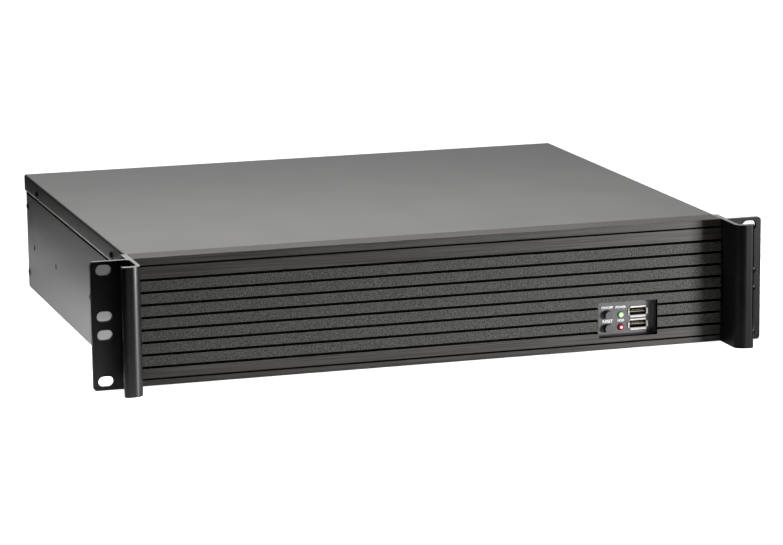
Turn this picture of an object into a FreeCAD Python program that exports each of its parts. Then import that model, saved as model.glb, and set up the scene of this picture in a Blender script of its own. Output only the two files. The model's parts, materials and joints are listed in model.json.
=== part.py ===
import FreeCAD, Part
import math
import os
import types

import Sketcher

# An empty two-unit rackmount case: folded steel tray, cover and rear panel behind a ribbed
# extruded front panel, which sits between two extruded side frames that carry the rack ears
# and the pull handles. X runs across the front, Y from front to back, Z up. Sub-parts are
# drawn with Y = 0 on the front face of the ears and are placed so that the origin is at the
# middle of the underside.

os.makedirs("parts", exist_ok=True)
doc = FreeCAD.newDocument("RackCase")
Vector = FreeCAD.Vector

DIMENSIONS = {
    # Whole case
    "case_tall": 88.0,
    "case_deep": 363.8,
    "cover_wide": 428.2,
    "steel_sheet": 1.0,
    "bend_round": 1.5,
    "sheet_play": 0.1,
    # Cover
    "cover_flange": 12.0,
    "cover_seam": 0.6,
    "cover_tail_play": 0.2,
    "cover_screw_front": 56.0,
    "cover_screw_tail": 51.8,
    "cover_screw_drop": 7.0,
    "cover_screw_radius": 1.5,
    "cover_head_radius": 2.4,
    "cover_notch_play": 0.4,
    # Side frames with ears and handles
    "ear_thick": 3.0,
    "ear_show": 25.1,
    "ear_corner": 2.5,
    "ear_slot_inset": 8.75,
    "ear_slot_long": 10.4,
    "ear_slot_tall": 7.1,
    "ear_slot_end": 5.9,
    "ear_slot_pair": 12.7,
    "frame_back": 19.5,
    "frame_proud": 2.1,
    "frame_thick": 4.0,
    "handle_reach": 27.0,
    "hook_wall": 2.6,
    "hook_wide": 13.4,
    "hook_thick": 4.5,
    "hook_round": 7.0,
    "hook_tip": 2.8,
    "channel_round": 3.0,
    "frame_tab": 16.0,
    "frame_tab_thick": 3.0,
    "frame_tab_cut": 5.0,
    # Front panel
    "panel_set": 2.5,
    "panel_play": 0.2,
    "panel_web": 3.0,
    "panel_skin": 2.0,
    "panel_lip": 8.0,
    "panel_lip_thick": 2.5,
    "panel_lip_cut": 24.0,
    "groove_first": 12.75,
    "groove_last": 15.33,
    "groove_mouth": 1.9,
    "groove_floor": 1.5,
    "groove_deep": 2.0,
    "line_low": 4.6,
    "line_drop": 5.7,
    "line_wide": 0.8,
    "line_deep": 0.7,
    # Front wall, rear panel and tray
    "wall_flange": 15.0,
    "rear_flange": 8.0,
    "wall_window_side": 3.5,
    "tray_lip": 10.0,
    "lip_play": 0.5,
    "side_hole_front": 137.5,
    "side_hole_middle": 256.0,
    "side_hole_rear": 337.2,
    "side_hole_level": 35.4,
    "side_hole_radius": 2.2,
    "rivet_radius": 1.6,
    "rivet_low": 12.3,
    "rivet_drop": 24.0,
    # Fastenings
    "frame_screw_radius": 2.0,
    "panel_screw_radius": 1.5,
    "bezel_screw_radius": 1.25,
    "board_screw_radius": 0.9,
    "screw_long": 5.0,
    "hole_play": 0.2,
    # Control opening, bezel and what it carries
    "control_inset": 69.7,
    "control_z": 20.95,
    "control_wide": 44.0,
    "control_tall": 25.1,
    "bezel_over": 0.3,
    "bezel_wall": 1.2,
    "bezel_deep": 5.0,
    "bezel_corner": 3.6,
    "bezel_cove": 2.0,
    "bezel_floor": 2.0,
    "bezel_flange": 5.4,
    "bezel_flange_thick": 1.5,
    "board_gap": 11.0,
    "board_thick": 1.6,
    "board_side": 1.8,
    "boss_radius": 2.2,
    "boss_inset": 0.8,
    "button_radius": 2.9,
    "button_play": 0.3,
    "button_x": 12.4,
    "power_z": 2.35,
    "reset_z": 7.3,
    "button_show": 3.8,
    "button_travel": 1.0,
    "button_collar": 0.8,
    "button_lift": 0.4,
    "button_stem": 1.5,
    "switch_side": 6.0,
    "switch_tall": 4.3,
    "plunger_radius": 1.6,
    "plunger_play": 0.25,
    "plunger_show": 1.2,
    "plunger_sunk": 1.5,
    "lamp_radius": 2.5,
    "lamp_play": 0.1,
    "lamp_rim": 0.4,
    "lamp_x": 2.7,
    "power_lamp_z": 1.8,
    "drive_lamp_z": 7.1,
    "lamp_show": 2.0,
    "lamp_long": 8.6,
    "lamp_base": 1.0,
    "lead_step": 2.54,
    "lead_thick": 0.5,
    "usb_x": 10.2,
    "usb_z": 1.2,
    "usb_pitch": 9.1,
    "usb_wide": 13.1,
    "usb_tall": 5.7,
    "usb_sheet": 0.3,
    "usb_lip": 1.0,
    "usb_notch": 0.8,
    "usb_back": 1.0,
    "tongue_wide": 11.0,
    "tongue_thick": 1.8,
    "tongue_set": 0.7,
    "contact_wide": 1.2,
    "contact_thick": 0.25,
    # Rear openings
    "io_inset": 91.9,
    "io_wide": 158.75,
    "io_tall": 44.45,
    "io_below_board": 2.21,
    "slot_gap": 17.025,
    "slot_pitch": 20.32,
    "slot_window": 13.0,
    "slot_window_low": 9.0,
    "slot_window_drop": 7.0,
    "bracket_wide": 18.4,
    "bracket_sheet": 0.9,
    "bracket_drop": 5.9,
    "bracket_tab": 11.4,
    "bracket_foot": 4.0,
    "shelf_side": 5.5,
    "shelf_lip": 8.0,
    "shelf_over": 3.0,
    "psu_inset": 79.9,
    "psu_z": 35.75,
    "psu_open_wide": 102.0,
    "psu_open_tall": 57.0,
    "psu_hole_wide": 113.0,
    "psu_hole_tall": 51.5,
    "psu_hole_radius": 1.9,
    "vent_wide": 3.6,
    "vent_pitch": 8.0,
    "vent_rise": 5.26,
    "vent_drop": 7.9,
    # Board standoffs
    "standoff_tall": 6.5,
    "standoff_across": 5.0,
    "board_wide": 203.2,
    "board_inner": 157.48,
    "board_deep": 227.33,
    "board_middle": 154.94,
    "board_offset": 48.7,
    "board_rear": 12.8,
    # Drive cage
    "cage_inset": 64.0,
    "cage_inside": 102.0,
    "cage_tall": 58.0,
    "cage_front": 46.0,
    "cage_deep": 147.0,
    "cage_foot": 10.0,
    "cage_window_corner": 6.0,
    "drive_hole_front": 24.0,
    "drive_hole_span": 101.6,
    "drive_hole_inner": 41.6,
    "drive_hole_low": 9.35,
    "drive_hole_step": 28.0,
    "drive_hole_radius": 1.8,
}

# Counts and shares, which don't change with the case's size.
GROOVES = 8
CARD_SLOTS = 4
VENTS = 20
PANEL_SCREW_SHARES = (-0.83, -0.28, 0.28, 0.83)
FRAME_SCREW_SHARES = (0.2, 0.5, 0.8)
CONTACT_SHARES = (-0.32, -0.09, 0.09, 0.32)
HEAD_SHARE = 1.85
HEAD_TALL_SHARE = 1.2
HEAD_TOP_SHARE = 0.8

sheet = doc.addObject("Spreadsheet::Sheet", "Dims")
for row, (alias, number) in enumerate(DIMENSIONS.items(), start=1):
    sheet.set(f"A{row}", alias)
    sheet.set(f"B{row}", str(number))
    sheet.setAlias(f"B{row}", alias)
doc.recompute()


def number_of(value):
    return value.number if isinstance(value, Length) else value


def text_of(value):
    return value.text if isinstance(value, Length) else repr(value)


class Length:
    """A length that carries its number and the sheet expression that gives it."""

    def __init__(self, number, text):
        self.number = number
        self.text = text

    def __add__(self, other):
        return Length(self.number + number_of(other), f"({self.text} + {text_of(other)})")

    def __radd__(self, other):
        return Length(other + self.number, f"({text_of(other)} + {self.text})")

    def __sub__(self, other):
        return Length(self.number - number_of(other), f"({self.text} - {text_of(other)})")

    def __rsub__(self, other):
        return Length(other - self.number, f"({text_of(other)} - {self.text})")

    def __mul__(self, other):
        return Length(self.number * number_of(other), f"({self.text} * {text_of(other)})")

    __rmul__ = __mul__

    def __truediv__(self, other):
        return Length(self.number / number_of(other), f"({self.text} / {text_of(other)})")

    def __neg__(self):
        return Length(-self.number, f"(-{self.text})")


size = types.SimpleNamespace(**{
    alias: Length(sheet.get(alias), f"Dims.{alias}") for alias in DIMENSIONS
})

# Widths from the middle of the case.
cover_half = size.cover_wide / 2
tray_half = cover_half - size.steel_sheet - size.sheet_play
tray_inside = tray_half - size.steel_sheet
wall_half = tray_inside - size.sheet_play
frame_out = cover_half + size.frame_proud
frame_in = frame_out - size.frame_thick
rack_half = frame_out + size.ear_show
panel_half = frame_in - size.panel_play

# Heights.
floor_top = size.steel_sheet
tray_top = size.case_tall - size.steel_sheet - size.sheet_play
bracket_top = tray_top - size.bracket_drop
cover_low = size.case_tall - size.cover_flange
cover_screw_z = size.case_tall - size.cover_screw_drop
rivet_heights = (size.rivet_low, size.case_tall - size.rivet_drop)
groove_pitch = (size.case_tall - size.groove_last - size.groove_first) / (GROOVES - 1)
io_low = floor_top + size.standoff_tall - size.io_below_board

# Depths, counted from the front of the ears.
wall_back = size.frame_back + size.steel_sheet
tray_back = size.case_deep - size.steel_sheet - size.cover_tail_play
rear_inside = tray_back - size.steel_sheet
origin_back = (size.case_deep - size.handle_reach) / 2
web_back = size.panel_set + size.panel_web
bezel_plane = web_back + size.bezel_deep
bezel_back = bezel_plane + size.bezel_floor
board_front = bezel_back + size.board_gap
board_back = board_front + size.board_thick
switch_front = board_front - size.switch_tall
plunger_front = switch_front - size.plunger_show
cover_screw_depths = (size.cover_screw_front, size.case_deep - size.cover_screw_tail)
front_rivet_y = wall_back + size.wall_flange / 2
rear_rivet_y = tray_back - size.rear_flange / 2
bracket_tab_y = rear_inside - size.bracket_tab / 2

# Places of the controls on the bezel.
control_x = panel_half - size.control_inset
control_low = size.control_z - size.control_tall / 2
control_high = size.control_z + size.control_tall / 2
button_x = control_x - size.button_x
lamp_x = control_x - size.lamp_x
usb_x = control_x + size.usb_x
usb_low = size.control_z - size.usb_z - size.usb_pitch / 2
usb_high = usb_low + size.usb_pitch
button_heights = {
    "power": size.control_z + size.power_z,
    "reset": size.control_z - size.reset_z,
}
lamp_heights = {
    "power": size.control_z + size.power_lamp_z,
    "drive": size.control_z - size.drive_lamp_z,
}

# Places of screws and standoffs, as pairs.
frame_screw_x = frame_in - size.frame_tab / 2
frame_screw_heights = [size.case_tall * share for share in FRAME_SCREW_SHARES]
panel_screw_low = size.panel_skin + size.panel_lip / 2
panel_screw_places = [
    (panel_half * share, z)
    for share in PANEL_SCREW_SHARES
    for z in (panel_screw_low, size.case_tall - panel_screw_low)
]
tub_half = size.control_wide / 2 + size.bezel_over + size.bezel_wall
flange_middle = tub_half + size.bezel_flange / 2
bezel_screw_z = size.groove_first + groove_pitch * 1.5
bezel_screw_places = [(control_x + side * flange_middle, bezel_screw_z) for side in (-1, 1)]
boss_reach = size.control_wide / 2 - size.boss_radius - size.boss_inset
boss_z = control_high - size.boss_radius - size.boss_inset
boss_places = [(control_x + side * boss_reach, boss_z) for side in (-1, 1)]
io_x = wall_half - size.io_inset
slot_first = io_x - size.io_wide / 2 - size.slot_gap
slot_places = [slot_first - size.slot_pitch * number for number in range(CARD_SLOTS)]
psu_x = -wall_half + size.psu_inset
board_right = io_x + size.board_offset
board_rear = rear_inside - size.board_rear
board_places = [
    (x, y)
    for x in (board_right, board_right - size.board_inner, board_right - size.board_wide)
    for y in (board_rear, board_rear - size.board_middle, board_rear - size.board_deep)
]
cage_x = -tray_inside + size.cage_inset
cage_foot_x = size.cage_inside / 2 + size.steel_sheet + size.cage_foot / 2
cage_end = size.cage_foot * 1.5
cage_screw_places = [
    (cage_x + side * cage_foot_x, y)
    for side in (-1, 1)
    for y in (size.cage_front + cage_end, size.cage_front + size.cage_deep - cage_end)
]

NORMAL_SIGN = {"XY_Plane": 1, "XZ_Plane": -1, "YZ_Plane": 1}
subparts = []


def bind(thing, path, value):
    """Set a property from the sheet."""
    text = value.text if isinstance(value, Length) else repr(float(value))
    thing.setExpression(path, text)


def keep(thing, label):
    """Name a finished sub-part, move it to the common origin and list it for export."""
    thing.Label = label
    bind(thing, "Placement.Base.y", -origin_back)
    subparts.append(thing)


def origin_item(body, role):
    return [item for item in body.Origin.OriginFeatures if item.Role == role][0]


def new_body(name):
    return doc.addObject("PartDesign::Body", name)


def new_sketch(body, plane, at):
    """Sketch on one of the body's origin planes, moved along the plane's axis to at."""
    sketch = body.newObject("Sketcher::SketchObject", body.Name + "Sketch")
    sketch.AttachmentSupport = (origin_item(body, plane), [""])
    sketch.MapMode = "FlatFace"
    bind(sketch, "AttachmentOffset.Base.z", at * NORMAL_SIGN[plane])
    return sketch


def place_point(sketch, kind, geo, point, value):
    """Distance of a point from the sketch's origin along one of its axes."""
    if not isinstance(value, Length) and value == 0:
        axis = -2 if kind == "DistanceX" else -1
        sketch.addConstraint(Sketcher.Constraint("PointOnObject", geo, point, axis))
        return
    constraint = Sketcher.Constraint(kind, -1, 1, geo, point, float(number_of(value)))
    index = sketch.addConstraint(constraint)
    bind(sketch, f"Constraints[{index}]", value)


def set_radius(sketch, geo, value):
    index = sketch.addConstraint(Sketcher.Constraint("Radius", geo, float(number_of(value))))
    bind(sketch, f"Constraints[{index}]", value)


def add_arc(sketch, centre, r, first, last):
    """Arc that runs anticlockwise from the direction of one point to that of another."""
    low = math.atan2(first.y - centre.y, first.x - centre.x)
    high = math.atan2(last.y - centre.y, last.x - centre.x)
    if high < low:
        high += 2 * math.pi
    circle = Part.Circle(centre, Vector(0, 0, 1), r)
    return sketch.addGeometry(Part.ArcOfCircle(circle, low, high), False)


def add_corner(sketch, corner, spot, back, ahead):
    """Arc that rounds a corner between two lines along the axes; gives the lines' ends on it."""
    r = number_of(corner[2])
    centre = spot + (back + ahead) * r
    arrive = spot + back * r
    leave = spot + ahead * r
    turns_left = back.cross(ahead).z < 0
    first, last = (arrive, leave) if turns_left else (leave, arrive)
    arc = add_arc(sketch, centre, r, first, last)
    near_end = 1 if turns_left else 2
    far_end = 3 - near_end
    for kind, at, step in (("DistanceX", corner[0], centre.x - spot.x),
                           ("DistanceY", corner[1], centre.y - spot.y)):
        place_point(sketch, kind, arc, 3, at + corner[2] if step > 0 else at - corner[2])
    set_radius(sketch, arc, corner[2])
    level = abs(back.x) > abs(back.y)
    for end, kind in ((near_end, "Vertical" if level else "Horizontal"),
                      (far_end, "Horizontal" if level else "Vertical")):
        sketch.addConstraint(Sketcher.Constraint(kind, arc, end, arc, 3))
    return (arrive, arc, near_end), (leave, arc, far_end)


def add_outline(sketch, corners):
    """Closed outline. A corner is (x, y), or (x, y, r) where it is rounded.

    A line that ends in a rounded corner has to run along one of the sketch's axes.
    """
    count = len(corners)
    spots = [Vector(number_of(corner[0]), number_of(corner[1]), 0) for corner in corners]
    rounds = {}
    for i, corner in enumerate(corners):
        if len(corner) == 3:
            back = (spots[i - 1] - spots[i]).normalize()
            ahead = (spots[(i + 1) % count] - spots[i]).normalize()
            rounds[i] = add_corner(sketch, corner, spots[i], back, ahead)
    lines = []
    for i in range(count):
        j = (i + 1) % count
        start = rounds[i][1][0] if i in rounds else spots[i]
        end = rounds[j][0][0] if j in rounds else spots[j]
        lines.append(sketch.addGeometry(Part.LineSegment(start, end), False))
    for i, corner in enumerate(corners):
        before = lines[i - 1]
        after = lines[i]
        if i in rounds:
            (_, arc, near_end), (_, _, far_end) = rounds[i]
            sketch.addConstraint(Sketcher.Constraint("Coincident", before, 2, arc, near_end))
            sketch.addConstraint(Sketcher.Constraint("Coincident", after, 1, arc, far_end))
            continue
        sketch.addConstraint(Sketcher.Constraint("Coincident", before, 2, after, 1))
        place_point(sketch, "DistanceX", after, 1, corner[0])
        place_point(sketch, "DistanceY", after, 1, corner[1])


def add_rectangle(sketch, low_x, high_x, low_y, high_y, corner=None):
    spots = [(low_x, low_y), (high_x, low_y), (high_x, high_y), (low_x, high_y)]
    if corner is not None:
        spots = [spot + (corner,) for spot in spots]
    add_outline(sketch, spots)


def add_circle(sketch, x, y, r):
    centre = Vector(number_of(x), number_of(y), 0)
    geo = sketch.addGeometry(Part.Circle(centre, Vector(0, 0, 1), number_of(r)), False)
    place_point(sketch, "DistanceX", geo, 3, x)
    place_point(sketch, "DistanceY", geo, 3, y)
    set_radius(sketch, geo, r)


def add_slot(sketch, x, y, long, wide):
    """Slot with round ends, lying along the sketch's x axis."""
    r = wide / 2
    half = (long - wide) / 2
    left = Vector(number_of(x - half), number_of(y), 0)
    right = Vector(number_of(x + half), number_of(y), 0)
    up = Vector(0, number_of(r), 0)
    top = sketch.addGeometry(Part.LineSegment(left + up, right + up), False)
    low = sketch.addGeometry(Part.LineSegment(right - up, left - up), False)
    left_end = add_arc(sketch, left, number_of(r), left + up, left - up)
    right_end = add_arc(sketch, right, number_of(r), right - up, right + up)
    for line, point, arc, end in ((top, 1, left_end, 1), (low, 2, left_end, 2),
                                  (low, 1, right_end, 1), (top, 2, right_end, 2)):
        sketch.addConstraint(Sketcher.Constraint("Tangent", line, point, arc, end))
    for arc, centre_x in ((left_end, x - half), (right_end, x + half)):
        place_point(sketch, "DistanceX", arc, 3, centre_x)
        place_point(sketch, "DistanceY", arc, 3, y)
        set_radius(sketch, arc, r)


def faces_forward(sketch):
    """Whether the sketch's normal points along its axis: it does, except across Y."""
    return sketch.AttachmentSupport[0][0].Role != "XZ_Plane"


def pad(body, sketch, length, forward=True):
    """Raise a sketch towards +X, +Y or +Z, or against it."""
    feature = body.newObject("PartDesign::Pad", body.Name + "Pad")
    feature.Profile = sketch
    bind(feature, "Length", length)
    feature.Reversed = forward != faces_forward(sketch)
    doc.recompute()


def pad_both_ways(body, sketch, length):
    feature = body.newObject("PartDesign::Pad", body.Name + "Pad")
    feature.Profile = sketch
    feature.SideType = "Symmetric"
    bind(feature, "Length", length)
    doc.recompute()


def pocket(body, sketch, depth=None, forward=True):
    """Cut a sketch out towards +X, +Y or +Z; with no depth, cut right through both ways."""
    before = body.Shape.Volume
    feature = body.newObject("PartDesign::Pocket", body.Name + "Pocket")
    feature.Profile = sketch
    if depth is None:
        feature.Type = "ThroughAll"
        feature.SideType = "Symmetric"
    else:
        bind(feature, "Length", depth)
        feature.Reversed = forward == faces_forward(sketch)
    doc.recompute()
    if not body.Shape.Volume < before:
        raise RuntimeError(f"{feature.Name} cuts nothing")
    return feature


def repeat(body, feature, axis, step, count):
    """Repeat a feature in a row along one of the body's axes."""
    pattern = body.newObject("PartDesign::LinearPattern", body.Name + "Row")
    pattern.Originals = [feature]
    pattern.Direction = (origin_item(body, axis), [""])
    pattern.Mode = "Spacing"
    bind(pattern, "Offset", step)
    pattern.Occurrences = count
    body.Tip = pattern
    doc.recompute()


def round_edges(body, r, wanted):
    """Fillet the edges of the body's last feature that the test picks."""
    base = body.Tip
    names = [f"Edge{i}" for i, edge in enumerate(base.Shape.Edges, start=1) if wanted(edge)]
    feature = body.newObject("PartDesign::Fillet", body.Name + "Fillet")
    feature.Base = (base, names)
    bind(feature, "Radius", r)
    doc.recompute()


def near(value, goal):
    return abs(value - number_of(goal)) < 0.01


def runs_along(edge, axis):
    ends = edge.Vertexes
    if len(ends) != 2:
        return False
    way = (ends[1].Point - ends[0].Point).normalize()
    return abs(way.dot(axis)) > 0.999


TURN = {
    "+X": FreeCAD.Rotation(Vector(0, 1, 0), 90),
    "-X": FreeCAD.Rotation(Vector(0, 1, 0), -90),
    "+Y": FreeCAD.Rotation(Vector(1, 0, 0), -90),
    "-Y": FreeCAD.Rotation(Vector(1, 0, 0), 90),
    "+Z": FreeCAD.Rotation(),
    "-Z": FreeCAD.Rotation(Vector(1, 0, 0), 180),
}
OPPOSITE = {"+X": "-X", "-X": "+X", "+Y": "-Y", "-Y": "+Y", "+Z": "-Z", "-Z": "+Z"}
INWARD = {-1: "+X", 1: "-X"}


def put(thing, x, y, z):
    bind(thing, "Placement.Base.x", x)
    bind(thing, "Placement.Base.y", y)
    bind(thing, "Placement.Base.z", z)


def rod(name, way, x, y, z, r, length):
    """Cylinder that starts at a point and runs one way along an axis."""
    cylinder = doc.addObject("Part::Cylinder", name)
    cylinder.Placement.Rotation = TURN[way]
    bind(cylinder, "Radius", r)
    bind(cylinder, "Height", length)
    put(cylinder, x, y, z)
    return cylinder


def block(name, x, y, z, wide, deep, tall):
    box = doc.addObject("Part::Box", name)
    bind(box, "Length", wide)
    bind(box, "Width", deep)
    bind(box, "Height", tall)
    put(box, x, y, z)
    return box


def fuse(name, pieces):
    joined = doc.addObject("Part::MultiFuse", name)
    joined.Shapes = pieces
    joined.Refine = True
    return joined


def cut(name, base, tool):
    result = doc.addObject("Part::Cut", name)
    result.Base = base
    result.Tool = tool
    return result


def group(name, pieces):
    together = doc.addObject("Part::Compound", name)
    together.Links = pieces
    return together


def screw(name, way, x, y, z, shank_r, length, head_r=None):
    """Screw or rivet: its head stands on the point and its shank runs the given way."""
    if head_r is None:
        head_r = shank_r * HEAD_SHARE
    head = doc.addObject("Part::Cone", name + "Head")
    head.Placement.Rotation = TURN[OPPOSITE[way]]
    bind(head, "Radius1", head_r)
    bind(head, "Radius2", head_r * HEAD_TOP_SHARE)
    bind(head, "Height", shank_r * HEAD_TALL_SHARE)
    put(head, x, y, z)
    shank = rod(name + "Shank", way, x, y, z, shank_r, length)
    return fuse(name, [head, shank])


# Rack ear, side wall and pull handle: one extrusion a side, hooked outward at the front.
def make_side_frames():
    body = new_body("SideFrame")
    tab_front = size.frame_back - size.frame_tab_thick
    tab_side = frame_in - size.frame_tab
    hook_back = -size.handle_reach + size.hook_thick
    tip = frame_in + size.hook_wide
    channel = frame_in + size.hook_wall
    section = new_sketch(body, "XY_Plane", 0)
    add_outline(section, [
        (frame_out, size.frame_back),
        (tab_side, size.frame_back),
        (tab_side, tab_front),
        (frame_in, tab_front),
        (frame_in, -size.handle_reach, size.hook_round),
        (tip, -size.handle_reach, size.hook_tip),
        (tip, hook_back, size.hook_tip / 4),
        (channel, hook_back, size.channel_round),
        (channel, 0, size.channel_round),
        (rack_half, 0),
        (rack_half, size.ear_thick),
        (frame_out, size.ear_thick, size.ear_thick / 3),
    ])
    pad(body, section, size.case_tall)
    tab_ends = new_sketch(body, "XZ_Plane", size.frame_back)
    add_rectangle(tab_ends, tab_side, frame_in, 0, size.frame_tab_cut)
    add_rectangle(tab_ends, tab_side, frame_in,
                  size.case_tall - size.frame_tab_cut, size.case_tall)
    pocket(body, tab_ends, size.frame_tab_thick, forward=False)
    slots = new_sketch(body, "XZ_Plane", size.ear_thick)
    middle = size.case_tall / 2
    for z in (size.ear_slot_end, middle - size.ear_slot_pair / 2,
              middle + size.ear_slot_pair / 2, size.case_tall - size.ear_slot_end):
        add_slot(slots, rack_half - size.ear_slot_inset, z, size.ear_slot_long, size.ear_slot_tall)
    pocket(body, slots, size.ear_thick, forward=False)
    tab_holes = new_sketch(body, "XZ_Plane", size.frame_back)
    for z in frame_screw_heights:
        add_circle(tab_holes, frame_screw_x, z, size.frame_screw_radius)
    pocket(body, tab_holes, size.frame_tab_thick, forward=False)

    def is_ear_corner(edge):
        return runs_along(edge, Vector(0, 1, 0)) and near(edge.CenterOfMass.x, rack_half)

    round_edges(body, size.ear_corner, is_ear_corner)
    keep(body, "right_ear_handle")
    mirror = doc.addObject("Part::Mirroring", "LeftFrame")
    mirror.Source = body
    mirror.Normal = Vector(1, 0, 0)
    mirror.Label = "left_ear_handle"
    subparts.append(mirror)


# Front panel: a C section with inward lips, grooved along its face, open at the controls.
def make_front_panel():
    body = new_body("FrontPanel")
    lip_front = size.frame_back - size.panel_lip_thick
    skin_low = size.panel_skin
    skin_high = size.case_tall - size.panel_skin
    edge_round = size.panel_skin / 4
    section = new_sketch(body, "YZ_Plane", 0)
    add_outline(section, [
        (size.panel_set, 0, edge_round),
        (size.frame_back, 0),
        (size.frame_back, skin_low + size.panel_lip),
        (lip_front, skin_low + size.panel_lip),
        (lip_front, skin_low),
        (web_back, skin_low),
        (web_back, skin_high),
        (lip_front, skin_high),
        (lip_front, skin_high - size.panel_lip),
        (size.frame_back, skin_high - size.panel_lip),
        (size.frame_back, size.case_tall),
        (size.panel_set, size.case_tall, edge_round),
    ])
    pad_both_ways(body, section, panel_half * 2)
    groove = new_sketch(body, "YZ_Plane", 0)
    mouth = size.groove_mouth / 2
    bed = size.groove_floor / 2
    groove_back = size.panel_set + size.groove_deep
    add_outline(groove, [
        (size.panel_set, size.groove_first - mouth),
        (groove_back, size.groove_first - bed),
        (groove_back, size.groove_first + bed),
        (size.panel_set, size.groove_first + mouth),
    ])
    first = pocket(body, groove)
    repeat(body, first, "Z_Axis", groove_pitch, GROOVES)
    lines = new_sketch(body, "YZ_Plane", 0)
    for z in (size.line_low, size.case_tall - size.line_drop):
        add_outline(lines, [
            (size.panel_set, z - size.line_wide / 2),
            (size.panel_set + size.line_deep, z),
            (size.panel_set, z + size.line_wide / 2),
        ])
    pocket(body, lines)
    lip_ends = new_sketch(body, "XZ_Plane", size.frame_back)
    lip_end = panel_half - size.panel_lip_cut
    add_rectangle(lip_ends, -panel_half, -lip_end, skin_low, skin_high)
    add_rectangle(lip_ends, lip_end, panel_half, skin_low, skin_high)
    pocket(body, lip_ends, size.panel_lip_thick, forward=False)
    opening = new_sketch(body, "XZ_Plane", web_back)
    add_rectangle(opening, control_x - size.control_wide / 2, control_x + size.control_wide / 2,
                  control_low, control_high)
    pocket(body, opening, size.panel_web, forward=False)
    lip_holes = new_sketch(body, "XZ_Plane", size.frame_back)
    for x, z in panel_screw_places:
        add_circle(lip_holes, x, z, size.panel_screw_radius)
    pocket(body, lip_holes, size.panel_lip_thick, forward=False)
    web_holes = new_sketch(body, "XZ_Plane", web_back)
    for x, z in bezel_screw_places:
        add_circle(web_holes, x, z, size.bezel_screw_radius)
    pocket(body, web_holes, size.screw_long - size.bezel_flange_thick * 2, forward=False)
    keep(body, "front_panel")


# Tray: floor and both side walls folded from one sheet, with a lip along each top edge.
def make_tray():
    body = new_body("Tray")
    lip = tray_half - size.tray_lip
    lip_low = tray_top - size.steel_sheet
    inner_round = size.bend_round - size.steel_sheet
    section = new_sketch(body, "XZ_Plane", size.frame_back)
    add_outline(section, [
        (-tray_half, 0, size.bend_round),
        (tray_half, 0, size.bend_round),
        (tray_half, tray_top, size.bend_round),
        (lip, tray_top),
        (lip, lip_low),
        (tray_inside, lip_low, inner_round),
        (tray_inside, floor_top, inner_round),
        (-tray_inside, floor_top, inner_round),
        (-tray_inside, lip_low, inner_round),
        (-lip, lip_low),
        (-lip, tray_top),
        (-tray_half, tray_top, size.bend_round),
    ])
    pad(body, section, tray_back - size.frame_back)
    lip_ends = new_sketch(body, "XY_Plane", tray_top)
    front_end = size.frame_back + size.wall_flange + size.lip_play
    rear_end = tray_back - size.rear_flange - size.lip_play
    for low, high in ((size.frame_back, front_end), (rear_end, tray_back)):
        add_rectangle(lip_ends, -tray_inside, -lip, low, high)
        add_rectangle(lip_ends, lip, tray_inside, low, high)
    pocket(body, lip_ends, size.bend_round, forward=False)
    side_holes = new_sketch(body, "YZ_Plane", 0)
    for y in (size.side_hole_front, size.side_hole_middle, size.side_hole_rear):
        add_circle(side_holes, y, size.side_hole_level, size.side_hole_radius)
    for y in (front_rivet_y, rear_rivet_y):
        for z in rivet_heights:
            add_circle(side_holes, y, z, size.rivet_radius)
    for y in cover_screw_depths:
        add_circle(side_holes, y, cover_screw_z, size.cover_screw_radius)
    pocket(body, side_holes)
    floor_holes = new_sketch(body, "XY_Plane", floor_top)
    for x, y in board_places + cage_screw_places:
        add_circle(floor_holes, x, y, size.panel_screw_radius)
    pocket(body, floor_holes, size.steel_sheet, forward=False)
    keep(body, "chassis_tray")


def add_pan(body, face, flange, forward):
    """Sheet with a flange all round, standing on its outer face."""
    blank = new_sketch(body, "XZ_Plane", face)
    add_rectangle(blank, -wall_half, wall_half, floor_top, tray_top, size.bend_round)
    pad(body, blank, flange, forward)
    inside = face + size.steel_sheet if forward else face - size.steel_sheet
    hollow = new_sketch(body, "XZ_Plane", inside)
    add_rectangle(hollow, -wall_half + size.steel_sheet, wall_half - size.steel_sheet,
                  floor_top + size.steel_sheet, tray_top - size.steel_sheet,
                  size.bend_round - size.steel_sheet)
    pocket(body, hollow, flange - size.steel_sheet, forward)


def cut_rivet_holes(body, y):
    holes = new_sketch(body, "YZ_Plane", 0)
    for z in rivet_heights:
        add_circle(holes, y, z, size.rivet_radius)
    pocket(body, holes)


# Front wall: a shallow pan that closes the tray behind the panel and carries the frames.
def make_front_wall():
    body = new_body("FrontWall")
    add_pan(body, size.frame_back, size.wall_flange, forward=True)
    holes = new_sketch(body, "XZ_Plane", size.frame_back)
    window_half = size.control_wide / 2 + size.wall_window_side
    add_rectangle(holes, control_x - window_half, control_x + window_half,
                  control_low - size.wall_window_side / 4, control_high + size.wall_window_side)
    for x, z in panel_screw_places:
        add_circle(holes, x, z, size.panel_screw_radius + size.hole_play)
    for side in (-1, 1):
        for z in frame_screw_heights:
            add_circle(holes, side * frame_screw_x, z, size.frame_screw_radius + size.hole_play)
    pocket(body, holes, size.steel_sheet)
    cut_rivet_holes(body, front_rivet_y)
    keep(body, "front_wall")


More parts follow.
